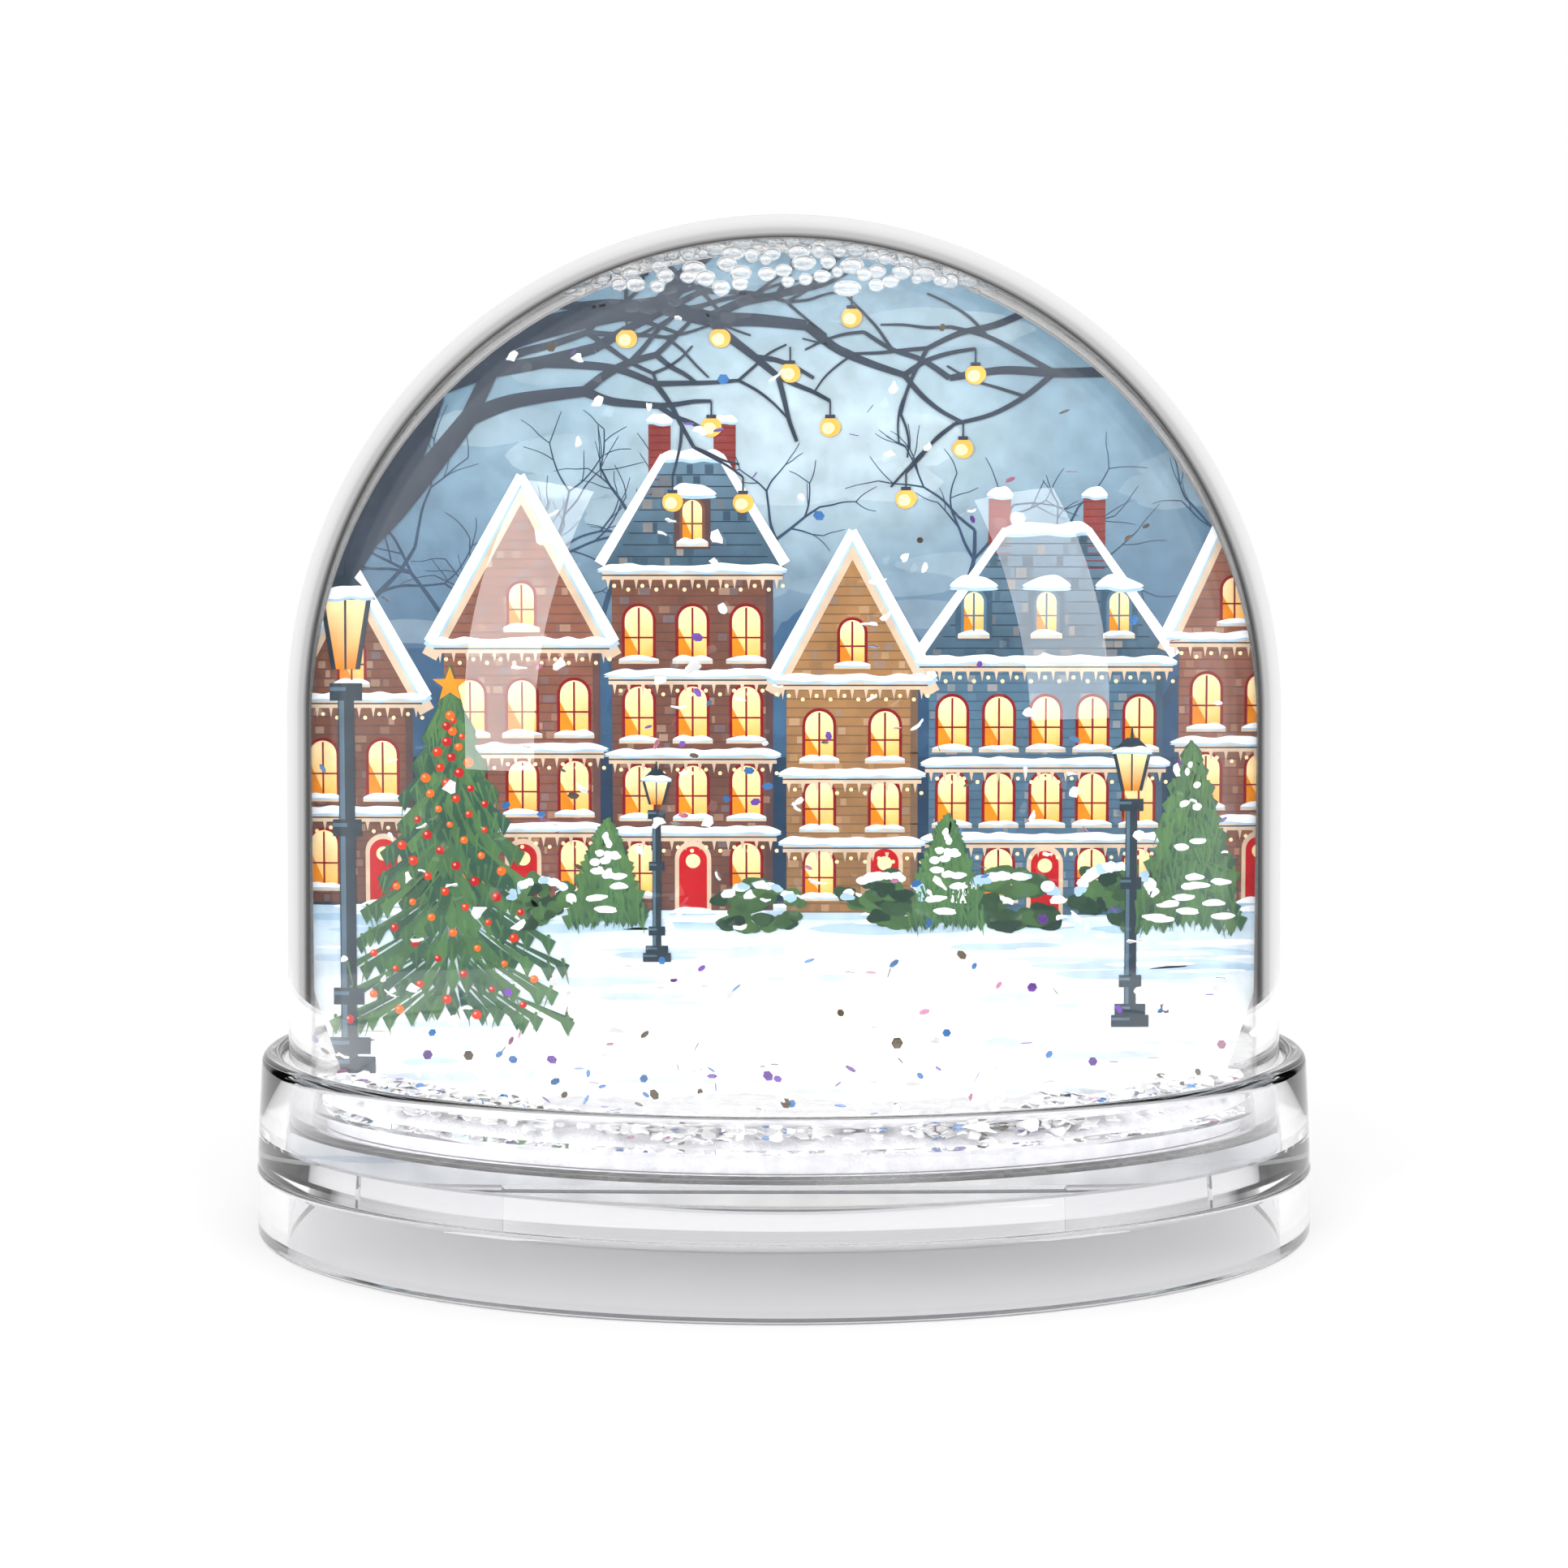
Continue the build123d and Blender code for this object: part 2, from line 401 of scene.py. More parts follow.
def prism(name, outline, front, back, material=None):
    """Upright panel from an outline of (x, z) points between two depths."""
    bm = bmesh.new()
    near = [bm.verts.new((x * MM, front * MM, z * MM)) for x, z in outline]
    far = [bm.verts.new((x * MM, back * MM, z * MM)) for x, z in outline]
    bm.faces.new(near)
    bm.faces.new(far[::-1])
    count = len(outline)
    for i in range(count):
        j = (i + 1) % count
        bm.faces.new([near[i], far[i], far[j], near[j]])
    return finish_mesh(name, bm, material)


def block(name, low, high):
    """Box between two corners, used as a cutting tool."""
    bm = bmesh.new()
    bmesh.ops.create_cube(bm, size=1)
    for vert in bm.verts:
        vert.co = [(low[k] if vert.co[k] < 0 else high[k]) * MM for k in range(3)]
    return finish_mesh(name, bm, None)


def combine(piece, tool, operation):
    """Applies one boolean step and removes the tool."""
    step = piece.modifiers.new("step", "BOOLEAN")
    step.object = tool
    step.operation = operation
    step.solver = "EXACT"
    bpy.context.view_layer.update()
    graph = bpy.context.evaluated_depsgraph_get()
    result = bpy.data.meshes.new_from_object(piece.evaluated_get(graph))
    piece.modifiers.clear()
    old = piece.data
    piece.data = result
    result.name = old.name
    bpy.data.meshes.remove(old)
    tool_mesh = tool.data
    bpy.data.objects.remove(tool)
    bpy.data.meshes.remove(tool_mesh)
    result.shade_smooth()
    result.set_sharp_from_angle(angle=math.radians(SHARP_ANGLE))


def arch_outline(half_span, bottom, steps=96):
    """Outline with parallel sides and a round top."""
    points = [(half_span, bottom)]
    for i in range(steps + 1):
        angle = math.pi * i / steps
        points.append((half_span * math.cos(angle), POCKET_CENTRE + half_span * math.sin(angle)))
    points.append((-half_span, bottom))
    return points


# --- Clear casing -------------------------------------------------------------
def build_cover(material):
    """Shallow upturned tray with two blades that plug into the pocket."""
    top = COVER_HEIGHT
    under = top - COVER_PLATE
    profile = inset_points(
        [(COVER_WALL + UNDER_EASE, under)]
        + round_corner(COVER_WALL + UNDER_EASE, under - UNDER_EASE, UNDER_EASE, 90, 0)
        + [(COVER_WALL, RIM_EASE), (COVER_WALL - RIM_EASE, 0.0)]
        + round_corner(COVER_ROUND, COVER_ROUND, COVER_ROUND, -90, 0)
        + round_corner(COVER_ROUND, top - COVER_ROUND, COVER_ROUND, 0, 90))
    profile = [(0, 0, under)] + profile + [(0, 0, top)]
    piece = oval_solid("bottom_cover_detail", profile, material)
    tip = BLADE_LENGTH / 2 - BLADE_CHAMFER
    shoulder = BLADE_TOP - BLADE_CHAMFER
    for side in (-1, 1):
        middle = side * BLADE_OFFSET
        start, end = middle - BLADE_LENGTH / 2, middle + BLADE_LENGTH / 2
        outline = [(start, top - BLADE_ROOT), (end, top - BLADE_ROOT), (end, shoulder),
                   (middle + tip, BLADE_TOP), (middle - tip, BLADE_TOP), (start, shoulder)]
        blade = prism("blade", outline, -BLADE_THICKNESS / 2, BLADE_THICKNESS / 2)
        combine(piece, blade, "UNION")
    notch = block("notch", (-NOTCH_HALF, HALF_DEPTH - NOTCH_DEPTH, top - NOTCH_HEIGHT),
                  (NOTCH_HALF, HALF_DEPTH + 2, top + 1))
    combine(piece, notch, "DIFFERENCE")
    return piece


def build_collar(material):
    """Drafted ring on the slab that carries the chamber."""
    rim = COLLAR_RIM_ROUND
    foot = COLLAR_FOOT_ROUND
    profile = inset_points(
        round_corner(COLLAR_FOOT_INSET + foot, COLLAR_BOTTOM + foot, foot, -90, 0)
        + round_corner(COLLAR_RIM_INSET + rim, COLLAR_TOP - rim, rim, 0, 90, 10)
        + round_corner(COLLAR_BORE - rim, COLLAR_TOP - rim, rim, 90, 180, 10)
        + [(COLLAR_BORE, SLAB_TOP + EDGE_CHAMFER), (COLLAR_BORE + EDGE_CHAMFER, SLAB_TOP)])
    profile = [(0, 0, COLLAR_BOTTOM)] + profile + [(0, 0, SLAB_TOP)]
    piece = oval_solid("collar_detail", profile, material)
    combine(piece, block("slot", (-POCKET_HALF, -POCKET_GAP / 2, 5), (POCKET_HALF, POCKET_GAP / 2, 9)),
            "DIFFERENCE")
    return piece


def build_dome(material):
    """Even clear shell, open at the foot."""
    outer = dome_points(0, DOME_FOOT)
    inner = dome_points(DOME_WALL, DOME_FOOT)
    return oval_solid("dome_detail", outer[::-1] + inner, material)


def build_water(material):
    """Liquid that fills the chamber up to a thin film from every wall."""
    low = UPSTAND_INSET + UPSTAND_WALL + FILM
    base = inset_points([(low, FLOOR_TOP + FILM), (low, UPSTAND_TOP + FILM)])
    profile = [(0, 0, FLOOR_TOP + FILM)] + base + dome_points(DOME_WALL + FILM, UPSTAND_TOP + FILM)
    piece = oval_solid("water_detail", profile, material)
    half = SLEEVE_DEPTH / 2 + FILM
    combine(piece, prism("pocket_space", arch_outline(SLEEVE_HALF + FILM, 8), -half, half), "DIFFERENCE")
    return piece


def build_sleeve(material):
    """Flat dry pocket, open only at the slab."""
    piece = prism("pocket_sleeve_detail", arch_outline(SLEEVE_HALF, SLAB_TOP + GAP),
                  -SLEEVE_DEPTH / 2, SLEEVE_DEPTH / 2, material)
    combine(piece, prism("pocket_hollow", arch_outline(POCKET_HALF, 7), -POCKET_GAP / 2, POCKET_GAP / 2),
            "DIFFERENCE")
    return piece


def build_floor(material):
    """Plate with an upstand and a slot for the pocket."""
    low = SLAB_TOP + GAP
    inner = UPSTAND_INSET + UPSTAND_WALL
    profile = inset_points([(FLOOR_INSET, low), (FLOOR_INSET, FLOOR_TOP), (UPSTAND_INSET, FLOOR_TOP),
                            (UPSTAND_INSET, UPSTAND_TOP - EDGE_CHAMFER),
                            (UPSTAND_INSET + EDGE_CHAMFER, UPSTAND_TOP),
                            (inner - EDGE_CHAMFER, UPSTAND_TOP),
                            (inner, UPSTAND_TOP - EDGE_CHAMFER), (inner, FLOOR_TOP)])
    profile = [(0, 0, low)] + profile + [(0, 0, FLOOR_TOP)]
    piece = oval_solid("chamber_floor_detail", profile, material)
    half = SLEEVE_DEPTH / 2 + FILM
    combine(piece, block("slot", (-SLEEVE_HALF - FILM, -half, 7), (SLEEVE_HALF + FILM, half, 13)),
            "DIFFERENCE")
    return piece


# --- Snow, glitter and air ----------------------------------------------------
BED_HALF_X = HALF_WIDTH - BED_INSET
BED_HALF_Y = HALF_DEPTH - BED_INSET
BED_NEAR = SLEEVE_DEPTH / 2 + 0.2


def bed_height(x, y):
    """Height of the settled flakes: an uneven heap that is deeper along the wall."""
    reach = min(1.0, math.hypot(x / BED_HALF_X, y / BED_HALF_Y))
    swell = noise.noise(Vector((x * 0.16, y * 0.16, 2.3)))
    ripple = noise.noise(Vector((x * 0.5, y * 0.5, 7.1)))
    waves = swell + 0.6 * ripple
    return BED_LOW + 1.1 + 1.1 * reach ** 3 + 0.9 * waves


def build_bed(name, side, material, columns=110, rows=22):
    """Heap of settled flakes in front of the pocket or behind it."""
    bm = bmesh.new()
    span = BED_HALF_X * math.sqrt(1 - (BED_NEAR * 1.15 / BED_HALF_Y) ** 2)
    top, low = [], []
    for i in range(columns + 1):
        x = span * math.sin(math.pi * (i / columns - 0.5))
        edge = BED_HALF_Y * math.sqrt(1 - (x / BED_HALF_X) ** 2)
        for j in range(rows + 1):
            y = side * (BED_NEAR + (edge - BED_NEAR) * j / rows)
            rim = min(1.0, 0.35 + min(j, rows - j) * 0.5)
            height = BED_LOW + (bed_height(x, y) - BED_LOW) * rim
            top.append(bm.verts.new((x * MM, y * MM, height * MM)))
            low.append(bm.verts.new((x * MM, y * MM, BED_LOW * MM)))
    wide = rows + 1
    for i in range(columns):
        for j in range(rows):
            a, b, c, d = i * wide + j, (i + 1) * wide + j, (i + 1) * wide + j + 1, i * wide + j + 1
            bm.faces.new([top[k] for k in (a, b, c, d)])
            bm.faces.new([low[k] for k in (d, c, b, a)])
    border = ([i * wide for i in range(columns + 1)] + [columns * wide + j for j in range(1, wide)]
              + [i * wide + rows for i in range(columns - 1, -1, -1)] + list(range(rows - 1, 0, -1)))
    for a, b in zip(border, border[1:] + border[:1]):
        bm.faces.new([top[a], top[b], low[b], low[a]])
    return finish_mesh(name, bm, material, 60)


def inside_water(x, y, z, margin):
    """Whether a point lies in the liquid, clear of the dome and the pocket."""
    rise = max(0.0, z - SPRING_HEIGHT) / (CROWN_RADIUS - DOME_WALL)
    if rise >= 1 or abs(y) < SLEEVE_DEPTH / 2 + margin or z > TOTAL_HEIGHT - DOME_WALL - margin:
        return False
    shrink = math.sqrt(1 - rise ** 2)
    half_x = (HALF_WIDTH - DOME_INSET - DOME_WALL) * shrink - margin
    half_y = (HALF_DEPTH - DOME_INSET - DOME_WALL) * shrink - margin
    return half_x > 0 and half_y > 0 and math.hypot(x / half_x, y / half_y) < 1


def drift_places(rng, count, low, high, front_share, margin=1.0):
    """Random places in the liquid, more of them low down."""
    places = []
    while len(places) < count:
        x = rng.uniform(-HALF_WIDTH, HALF_WIDTH)
        y = rng.uniform(0, HALF_DEPTH) * (-1 if rng.random() < front_share else 1)
        z = low + (high - low) * rng.random() ** 2.4
        if inside_water(x, y, z, margin):
            places.append(Vector((x, y, z)))
    return places


def heap_places(rng, count, lift=0.25):
    """Random places on top of the settled heap, most of them along the wall."""
    places = []
    while len(places) < count:
        turn, reach = rng.uniform(0, 2 * math.pi), rng.uniform(0.25, 1.0) ** 0.4
        x, y = BED_HALF_X * reach * math.cos(turn), BED_HALF_Y * reach * math.sin(turn)
        if abs(y) > BED_NEAR + 0.5:
            pile = (0.2 + 1.3 * max(0.0, (reach - 0.75) * 4)) * rng.random() ** 2
            places.append(Vector((x, y, bed_height(x, y) + lift * rng.random() + pile)))
    return places


def add_plate(bm, place, radius, thickness, sides, rng, rough, flat):
    """Thin plate with an even or torn outline, turned at random."""
    tilt = rng.uniform(-1, 1) * (0.5 if flat else 1.5)
    turn = Matrix.Rotation(rng.uniform(0, 6.3), 3, "Z") @ Matrix.Rotation(tilt, 3, "X")
    rings = ([], [])
    for i in range(sides):
        angle = 2 * math.pi * i / sides
        reach = radius * (1 + rough * rng.uniform(-1, 0.6))
        bend = rough * radius * 0.35 * math.sin(2 * angle + radius * 9)
        for ring, side in zip(rings, (-0.5, 0.5)):
            corner = Vector((reach * math.cos(angle), reach * math.sin(angle), bend + side * thickness))
            ring.append(bm.verts.new((place + turn @ corner) * MM))
    lower, upper = rings
    hubs = [bm.verts.new((place + turn @ Vector((0, 0, side * thickness))) * MM) for side in (-0.5, 0.5)]
    for i in range(sides):
        j = (i + 1) % sides
        bm.faces.new([lower[i], lower[j], upper[j], upper[i]])
        bm.faces.new([lower[j], lower[i], hubs[0]])
        bm.faces.new([upper[i], upper[j], hubs[1]])


def build_plates(name, material, drifting, settled, seed, sizes, thickness, sides, rough):
    """All plates of one kind: some drift in the liquid and some lie on the heap."""
    rng = random.Random(seed)
    bm = bmesh.new()
    for place in drift_places(rng, drifting, UPSTAND_TOP + 2.0, TOTAL_HEIGHT - 4, 0.72):
        add_plate(bm, place, rng.uniform(*sizes), thickness, sides, rng, rough, False)
    for place in heap_places(rng, settled):
        add_plate(bm, place, rng.uniform(*sizes), thickness, sides, rng, rough, True)
    return finish_mesh(name, bm, material, 20)


def crown_height(x, y, inset):
    """Height of the dome's inner surface above a point near its top."""
    ratio = (HALF_DEPTH - DOME_INSET - inset) / (HALF_WIDTH - DOME_INSET - inset)
    crown = CROWN_RADIUS - inset
    return SPRING_HEIGHT + math.sqrt(max(0.0, crown ** 2 - x ** 2 - (y / ratio) ** 2))


def build_bubbles(material, tries=900):
    """Raft of flattened air bubbles under the crown of the dome."""
    rng = random.Random(31)
    bm = bmesh.new()
    placed = []
    for i in range(tries):
        reach = math.sqrt((i + 0.5) / tries)
        turn = i * GOLDEN_TURN
        x, y = RAFT_HALF_X * reach * math.cos(turn), RAFT_HALF_Y * reach * math.sin(turn)
        radius = rng.uniform(0.45, 1.0) + 1.2 * rng.random() ** 3 * (1.1 - reach)
        if any(math.hypot(x - px, y - py) < (radius + pr) * 0.88 for px, py, pr in placed):
            continue
        placed.append((x, y, radius))
        tall = min(radius * 0.75, 0.62)
        height = crown_height(x, y, DOME_WALL + FILM) - tall - 0.06 - 0.3 * radius * reach
        made = bmesh.ops.create_icosphere(bm, subdivisions=2, radius=1.0)
        squeeze = rng.uniform(0.85, 1.15)
        for vert in made["verts"]:
            vert.co = Vector((x + vert.co.x * radius * squeeze, y + vert.co.y * radius / squeeze,
                              height + vert.co.z * tall)) * MM
    return finish_mesh("air_bubbles", bm, material, 180)


def build_stage():
    """Round white table under the globe."""
    bm = bmesh.new()
    bmesh.ops.create_circle(bm, cap_ends=True, segments=128, radius=FLOOR_RADIUS)
    paper = mottled_material("floor_paper", (0.71, 0.71, 0.71), (0.695, 0.695, 0.695), 3, 0.9, 0.05)
    finish_mesh("floor", bm, paper)


# --- Picture: shapes of ink on the card ---------------------------------------
def ink(code):
    """Linear colour from a six-digit web colour."""
    values = [int(code[i:i + 2], 16) / 255 for i in (0, 2, 4)]
    return tuple(v / 12.92 if v <= 0.04045 else ((v + 0.055) / 1.055) ** 2.4 for v in values)


def blend(first, second, share):
    share = min(1.0, max(0.0, share))
    return tuple(a + (b - a) * share for a, b in zip(first, second))


def card_outline(steps=72):
    """Corners of the card, anticlockwise from its lower left."""
    points = [(-CORNER_HALF, CARD_BOTTOM), (CORNER_HALF, CARD_BOTTOM), (CARD_HALF, CORNER_HEIGHT)]
    for i in range(steps + 1):
        angle = math.pi * i / steps
        points.append((CARD_HALF * math.cos(angle), POCKET_CENTRE + CARD_HALF * math.sin(angle)))
    points.append((-CARD_HALF, CORNER_HEIGHT))
    return points


CARD_EDGE = card_outline()


def on_card(point):
    x, z = abs(point[0]), point[1]
    if z > POCKET_CENTRE:
        return math.hypot(x, z - POCKET_CENTRE) < CARD_HALF - 0.05
    return (z > CARD_BOTTOM and x < CORNER_HALF) or (z > CORNER_HEIGHT and x < CARD_HALF)


def clip_to_card(points):
    """Keeps the part of an outline that lies on the card, which is convex."""
    if all(on_card(p) for p in points):
        return points
    for start, end in zip(CARD_EDGE, CARD_EDGE[1:] + CARD_EDGE[:1]):
        across, up = end[0] - start[0], end[1] - start[1]
        kept = []
        for i, point in enumerate(points):
            before = points[i - 1]
            side = across * (point[1] - start[1]) - up * (point[0] - start[0])
            side_before = across * (before[1] - start[1]) - up * (before[0] - start[0])
            if (side >= 0) != (side_before >= 0):
                share = side_before / (side_before - side)
                kept.append((before[0] + (point[0] - before[0]) * share,
                             before[1] + (point[1] - before[1]) * share))
            if side >= 0:
                kept.append(point)
        points = kept
        if len(points) < 3:
            return []
    return points


def smooth_path(points, steps=5, closed=False):
    """Rounded line through points."""
    if closed:
        ends = [points[-1]] + list(points) + list(points[:2])
    elif len(points) < 3:
        return list(points)
    else:
        ends = [points[0]] + list(points) + [points[-1]]
    path = []
    for a, b, c, d in zip(ends, ends[1:], ends[2:], ends[3:]):
        for i in range(steps):
            t = i / steps
            path.append(tuple(0.5 * (2 * b[k] + (c[k] - a[k]) * t
                                     + (2 * a[k] - 5 * b[k] + 4 * c[k] - d[k]) * t * t
                                     + (3 * b[k] - a[k] - 3 * c[k] + d[k]) * t ** 3)
                              for k in (0, 1)))
    return path if closed else path + [points[-1]]


class Painting:
    """One group of flat inked shapes, each on its own thin layer in front of the print."""

    def __init__(self, name):
        self.name = name
        self.bm = bmesh.new()
        self.ink = self.bm.loops.layers.float_color.new("ink")
        self.count = 0

    def shape(self, points, colour, layer):
        points = clip_to_card(points)
        if len(points) < 3:
            return
        self.count += 1
        y = -(PRINT_FACE + LAYER_STEP * (layer + 1) + HAIR_STEP * (self.count % HAIR_COUNT))
        face = self.bm.faces.new([self.bm.verts.new((x * MM, y * MM, z * MM)) for x, z in points])
        face.normal_update()
        if face.normal.y > 0:
            face.normal_flip()
        for loop in face.loops:
            x, _, z = loop.vert.co / MM
            loop[self.ink] = (*(colour(x, z) if callable(colour) else colour), 1)

    def rect(self, left, low, right, high, colour, layer):
        self.shape([(left, low), (right, low), (right, high), (left, high)], colour, layer)

    def wash(self, left, low, right, high, step, colour, layer):
        """Area filled with small squares so that its colour can change smoothly."""
        for i in range(math.ceil((right - left) / step)):
            for j in range(math.ceil((high - low) / step)):
                x, z = left + i * step, low + j * step
                self.rect(x, z, min(x + step, right), min(z + step, high), colour, layer)

    def blob(self, x, z, half_x, half_z, colour, layer, seed=0, rough=0.15, count=22):
        """Uneven rounded patch, as a wet brush leaves it. With no roughness it is an even oval."""
        rng = random.Random(seed)
        waves = [(rng.uniform(-1, 1) * rough / k, rng.uniform(0, 6.3), k) for k in (2, 3, 5, 8)]
        points = []
        for i in range(count):
            angle = 2 * math.pi * i / count
            swell = 1 + sum(size * math.sin(k * angle + shift) for size, shift, k in waves)
            points.append((x + half_x * swell * math.cos(angle), z + half_z * swell * math.sin(angle)))
        self.shape(points, colour, layer)

    def arch(self, left, low, right, high, colour, layer):
        """Upright opening with a round head that starts at the second height."""
        half = (right - left) / 2
        head = [(left + half + half * math.cos(math.pi * i / 12), high + half * math.sin(math.pi * i / 12))
                for i in range(13)]
        self.shape([(left, low), (right, low)] + head, colour, layer)

    def stroke(self, points, first, last, colour, layer):
        """Brush stroke through points that changes from one width to another."""
        path = smooth_path(points)
        sides = []
        for i, (x, z) in enumerate(path):
            ahead, behind = path[min(i + 1, len(path) - 1)], path[max(i - 1, 0)]
            dx, dz = ahead[0] - behind[0], ahead[1] - behind[1]
            half = (first + (last - first) * i / (len(path) - 1)) / 2 / (math.hypot(dx, dz) or 1)
            sides.append(((x - dz * half, z + dx * half), (x + dz * half, z - dx * half)))
        for near, far in zip(sides, sides[1:]):
            self.shape([near[0], far[0], far[1], near[1]], colour, layer)

    def snow(self, left, right, z, depth, layer, seed=1):
        """Snow on a ledge: a soft uneven cushion over a cool shadow."""
        for drop, tone, over in ((depth * 0.3, SNOW_SHADE, 0), (0, SNOW, 1)):
            rng = random.Random(seed)
            count = max(4, int((right - left) / 0.9))
            steps = [left + (right - left) * i / count for i in range(1, count)]
            top = [(x, z - drop + depth * rng.uniform(0.55, 1.0)) for x in steps]
            low = [(x, z - drop - depth * rng.uniform(0.0, 0.35)) for x in steps]
            outline = [(left, z - drop)] + low + [(right, z - drop)] + top[::-1]
            self.shape(smooth_path(outline, 3, True), tone, layer + over)

    def finish(self, material):
        mesh = bpy.data.meshes.new(self.name)
        self.bm.to_mesh(mesh)
        self.bm.free()
        mesh.materials.append(material)
        piece = bpy.data.objects.new(self.name, mesh)
        bpy.context.scene.collection.objects.link(piece)
        return piece


SNOW = ink("f0f4f8")
SNOW_SHADE = ink("a9c6dc")
SNOW_BLUE = ink("7fa9ca")
SNOW_WARM = ink("fbf6e6")
AMBER = ink("f4b868")
AMBER_LIGHT = ink("ffe6b4")
AMBER_DEEP = ink("d9852f")
TRIM = ink("cdb8a1")
RED = ink("b3262c")
RED_DARK = ink("7c1e26")
FIR = ink("2f4f43")
FIR_LIGHT = ink("5b8050")
IRON = ink("26343f")
IRON_LIGHT = ink("52697a")
BARK = ink("323c49")
SLATE = ink("3f5667")
SLATE_LIGHT = ink("627c8e")
SHADOW = ink("1f2f3f")


# --- Picture: sky, wood and snowfield -----------------------------------------
def sky_tone(x, z):
    tone = blend(ink("2f4d6c"), ink("86a3b3"), (z - 44) / 26)
    glow = math.exp(-((x - 2) / 18) ** 2 - ((z - 67) / 10) ** 2)
    edge = math.hypot(x, z - POCKET_CENTRE) / CARD_HALF
    return blend(blend(tone, ink("c6d5da"), glow * 0.7), ink("4a6a84"), (edge - 0.72) * 1.6)


def ground_tone(x, z):
    warm = math.exp(-((x - 3) / 22) ** 2 - ((z - 16) / 8) ** 2)
    return blend(blend(ink("bcd3e5"), SNOW, (27 - z) / 10), SNOW_WARM, warm)


def paint_sky(material):
    art = Painting("picture_sky")
    art.wash(-40, 8, 40, 82, 2, sky_tone, 0)
    rng = random.Random(3)
    for i in range(30):
        x, z = rng.uniform(-34, 34), rng.uniform(50, 77)
        tone = blend(sky_tone(x, z), ink("c9d7dc"), 0.08 + 0.12 * rng.random())
        art.blob(x, z, rng.uniform(3, 7), rng.uniform(0.8, 2.0), tone, 1, i, 0.35)
    for i in range(34):
        x = -38 + i * 2.3 + rng.uniform(-1, 1)
        top = 45 + 4 * math.sin(x / 7 + 2) + rng.uniform(-3, 4)
        tone = blend(ink("2c4561"), ink("456684"), rng.random())
        for k in range(5):
            art.blob(x + rng.uniform(-2, 2), top - 3 * k, rng.uniform(1.6, 3.4), rng.uniform(2, 3.4),
                     tone, 2, i * 7 + k, 0.35)
    art.rect(-40, 27.4, 40, 40, ink("24394f"), 3)
    return art.finish(material)


def paint_snowfield(material):
    art = Painting("picture_snowfield")
    art.wash(-40, 8, 40, 27.4, 1.6, ground_tone, 3)
    rng = random.Random(8)
    for i in range(90):
        x, z = rng.uniform(-38, 38), rng.uniform(9.5, 27)
        if math.hypot((x - 3) / 18, (z - 17) / 5) > 0.75:
            tone = blend(ground_tone(x, z), SNOW_BLUE, rng.uniform(0.2, 0.55))
            art.blob(x, z, rng.uniform(2, 7), rng.uniform(0.15, 0.5), tone, 4, i, 0.3)
            art.blob(x + 1, z + 0.9, rng.uniform(2, 5), rng.uniform(0.1, 0.25), SNOW, 5, 100 + i, 0.3)
    return art.finish(material)


# --- Picture: a row of plain houses -------------------------------------------
def lit_window(art, x, low, half, tall, frame_ink, layer):
    """Glowing window with a round head, glazing bars and a snowy sill."""
    high = low + tall
    art.arch(x - half - 0.25, low - 0.25, x + half + 0.25, high, frame_ink, layer)
    art.arch(x - half, low, x + half, high,
             lambda a, b: blend(AMBER, AMBER_LIGHT, (b - low) / tall), layer + 1)
    art.shape([(x - half, low), (x + half * 0.1, low), (x - half, low + tall * 0.8)], AMBER_DEEP, layer + 2)
    art.rect(x - 0.08, low, x + 0.08, high + half * 0.9, frame_ink, layer + 3)
    art.rect(x - half, low + tall * 0.5, x + half, low + tall * 0.5 + 0.14, frame_ink, layer + 3)
    art.rect(x - half - 0.5, low - 0.6, x + half + 0.5, low - 0.25, TRIM, layer + 1)
    art.snow(x - half - 0.5, x + half + 0.5, low - 0.25, 0.4, layer + 2, int(x * 7))


def courses(art, outline_at, low, high, tone, dark, layer, step=0.75):
    """Rows of boards or slates between two sides that may lean."""
    rng = random.Random(int(low * 10 + high))
    for i in range(int((high - low) / step)):
        z = low + i * step
        left, right = outline_at(z)
        art.rect(left, z, right, z + 0.09, dark, layer)
        for _ in range(int((right - left) / 2.2)):
            x = rng.uniform(left, right - 1.0)
            art.rect(x, z + 0.12, x + rng.uniform(0.4, 1.0), z + step - 0.06,
                     blend(tone, rng.choice((dark, TRIM, SLATE_LIGHT)), rng.uniform(0.1, 0.35)), layer)


def eaves_board(art, left, right, z, layer):
    """Board with small brackets, a garland of lamps and snow on top."""
    art.rect(left, z, right, z + 0.8, TRIM, layer)
    art.rect(left, z + 0.3, right, z + 0.42, BARK, layer + 1)
    count = int((right - left) / 1.1)
    for i in range(count):
        x = left + 0.5 + (right - left - 1) * i / (count - 1)
        art.shape([(x - 0.16, z), (x + 0.16, z), (x, z - 0.8)], TRIM, layer + 1)
        art.blob(x + 0.5, z - 0.5 - 0.3 * (i % 2), 0.17, 0.17, AMBER_LIGHT, layer + 3, 0, 0, 8)
    art.snow(left - 0.4, right + 0.4, z + 0.8, 0.6, layer + 2, int(left * 3))


